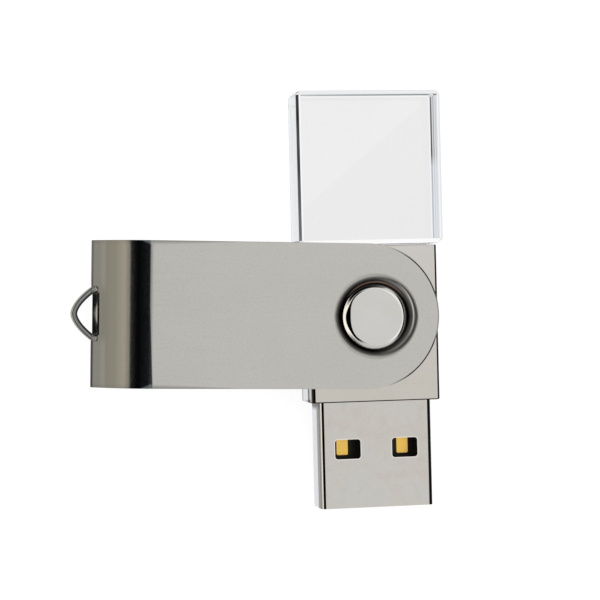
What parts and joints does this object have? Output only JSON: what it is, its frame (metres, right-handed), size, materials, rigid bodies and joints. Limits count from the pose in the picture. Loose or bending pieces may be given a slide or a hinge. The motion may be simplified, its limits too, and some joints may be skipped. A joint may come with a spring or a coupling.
{
  "type": "usb flash drive",
  "caption": "Swivel USB flash drive: clear crystal block and metal housing with a USB-A plug, turning inside a bent steel bracket with a key loop.",
  "frame": {"origin": "swivel axis at the outer face of the rear pivot stud, the lowest plane of the object", "axes": "+Z along the swivel axis towards the front stud, +Y towards the crystal end, +X across the drive, away from the closed end of the bracket"},
  "size_m": [0.0392, 0.0438, 0.0074],
  "materials": {
    "bracket": "fine satin stainless sheet, faint grain along the arms",
    "nickel": "polished warm nickel plate",
    "crystal": "clear optical crystal, polished faces and chamfers",
    "adhesive": "clear cured adhesive",
    "diffuser": "clear acrylic light guide",
    "plug_steel": "nickel plated steel, softly mottled satin",
    "insulator": "black glass-filled polymer",
    "contacts": "gold plated contact strip",
    "board": "green solder mask on glass-epoxy board",
    "moulding": "black moulded chip package",
    "can": "drawn nickel can",
    "led": "white light emitting diode package",
    "capacitor": "tan ceramic with tinned ends",
    "resistor": "black resistor film on white ceramic",
    "cradle": "white moulded spacer"
  },
  "bodies": {
    "drive_body": {"pivot_stud_front": "nickel", "pivot_stud_rear": "nickel", "housing_front_cover": "nickel", "housing_rear_shell": "nickel", "crystal_block": "crystal", "crystal_adhesive": "adhesive", "light_window": "diffuser", "plug_shell": "plug_steel", "plug_insulator": "insulator", "contact_vbus": "contacts", "contact_data_minus": "contacts", "contact_data_plus": "contacts", "contact_ground": "contacts", "circuit_board": "board", "controller_chip": "moulding", "memory_chip": "moulding", "quartz_oscillator": "can", "led": "led", "capacitor_1": "capacitor", "capacitor_2": "capacitor", "capacitor_3": "capacitor", "resistor_1": "resistor", "resistor_2": "resistor", "resistor_3": "resistor", "board_cradle": "cradle"},
    "bracket": {"swivel_bracket": "bracket"}
  },
  "joints": [
    {"name": "bracket_swivel", "type": "hinge", "parent": "drive_body", "child": "bracket", "pos_m": [0, 0, 0.0037], "axis": [0, 0, 1], "continuous": true}
  ]
}
